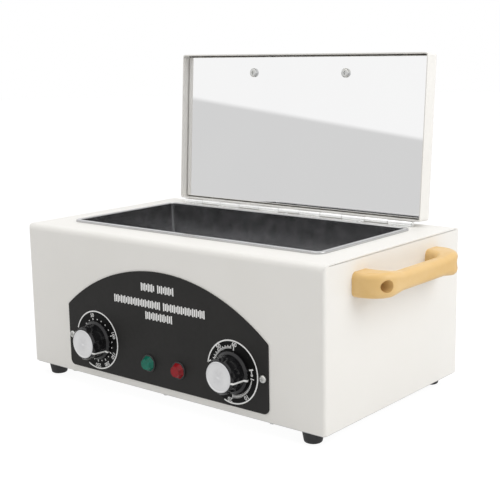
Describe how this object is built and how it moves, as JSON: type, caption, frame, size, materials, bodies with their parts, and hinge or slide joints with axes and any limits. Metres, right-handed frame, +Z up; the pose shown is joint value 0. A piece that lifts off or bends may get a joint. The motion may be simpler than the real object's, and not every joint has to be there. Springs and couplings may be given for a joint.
{
  "type": "dry heat sterilizer",
  "caption": "Bench-top dry heat sterilizer: steel box with a stainless tank, hinged mirror-lined lid, moulded handles, temperature and timer knobs, signal lamps and rubber feet.",
  "frame": {"origin": "on the bench, under the middle of the whole object's outline with the lid open", "axes": "+X to the right along the front, +Y from the front to the back, +Z up"},
  "size_m": [0.406, 0.2601, 0.3043],
  "materials": {
    "cream_paint": "satin powder coat",
    "zinc_sheet": "zinc-plated sheet",
    "zinc_fastener": "bright zinc",
    "black_rubber": "matt",
    "stainless_tank": "drawn stainless, half bright",
    "copper_tube": "drawn copper",
    "glass_wool": "soft fibre",
    "grey_moulding": "moulded",
    "black_knob": "gloss moulding",
    "spun_aluminium": "spun, fine rings",
    "black_panel": "satin black",
    "black_moulding": "moulded",
    "green_lens": "translucent",
    "red_lens": "translucent",
    "mirror_steel": "mirror polished stainless",
    "beech_moulding": "satin moulding",
    "bright_hinge": "bright rolled strip",
    "white_ceramic": "unglazed"
  },
  "bodies": {
    "base": {"outer_shell": "cream_paint", "rear_panel": "cream_paint", "rear_screws": "zinc_fastener", "base_plate": "zinc_sheet", "base_screws": "zinc_fastener", "foot_front_left": "black_rubber", "foot_front_right": "black_rubber", "foot_rear_left": "black_rubber", "foot_rear_right": "black_rubber", "foot_screws": "zinc_fastener", "foot_nuts": "zinc_fastener", "tank": "stainless_tank", "heating_element": "stainless_tank", "heater_clamp": "zinc_sheet", "clamp_nuts": "zinc_fastener", "sensing_bulb": "copper_tube", "insulation_blanket": "glass_wool", "temperature_body": "grey_moulding", "temperature_nut": "zinc_fastener", "timer_body": "grey_moulding", "timer_nut": "zinc_fastener", "front_panel": "black_panel", "panel_screws": "zinc_fastener", "panel_nuts": "zinc_fastener", "green_lamp_body": "black_moulding", "green_lamp_lens": "green_lens", "red_lamp_body": "black_moulding", "red_lamp_lens": "red_lens", "lamp_nuts": "black_moulding", "handle_right": "beech_moulding", "handle_left": "beech_moulding", "handle_right_screws": "zinc_fastener", "handle_left_screws": "zinc_fastener", "handle_right_nuts": "zinc_fastener", "handle_left_nuts": "zinc_fastener", "hinge_body_leaf": "bright_hinge", "hinge_pin": "bright_hinge", "hinge_body_screws": "zinc_fastener", "lid_stops": "black_rubber", "cord_gland": "black_moulding", "gland_nut": "black_moulding", "terminal_block": "white_ceramic", "terminal_screw": "zinc_fastener"},
    "lid": {"lid_shell": "cream_paint", "lid_inner_plate": "mirror_steel", "lid_insulation": "glass_wool", "lid_screws": "zinc_fastener", "lid_handle_nuts": "zinc_fastener", "lid_handle": "beech_moulding", "hinge_lid_leaf": "bright_hinge", "hinge_lid_rivets": "zinc_fastener"},
    "temperature_knob": {"temperature_knob": "black_knob", "temperature_knob_cap": "spun_aluminium", "temperature_shaft": "zinc_fastener"},
    "timer_knob": {"timer_knob": "black_knob", "timer_knob_cap": "spun_aluminium", "timer_shaft": "zinc_fastener"}
  },
  "joints": [
    {"name": "lid_hinge", "type": "hinge", "parent": "base", "child": "lid", "pos_m": [0, 0.07567, 0.1506], "axis": [1, 0, 0], "range_deg": [0, 93.9]},
    {"name": "temperature_turn", "type": "hinge", "parent": "base", "child": "temperature_knob", "pos_m": [-0.082, -0.12073, 0.0476], "axis": [0, 1, 0], "range_deg": [-165, 76]},
    {"name": "timer_turn", "type": "hinge", "parent": "base", "child": "timer_knob", "pos_m": [0.082, -0.12073, 0.0476], "axis": [0, 1, 0], "range_deg": [-28.5, 263.5]}
  ]
}
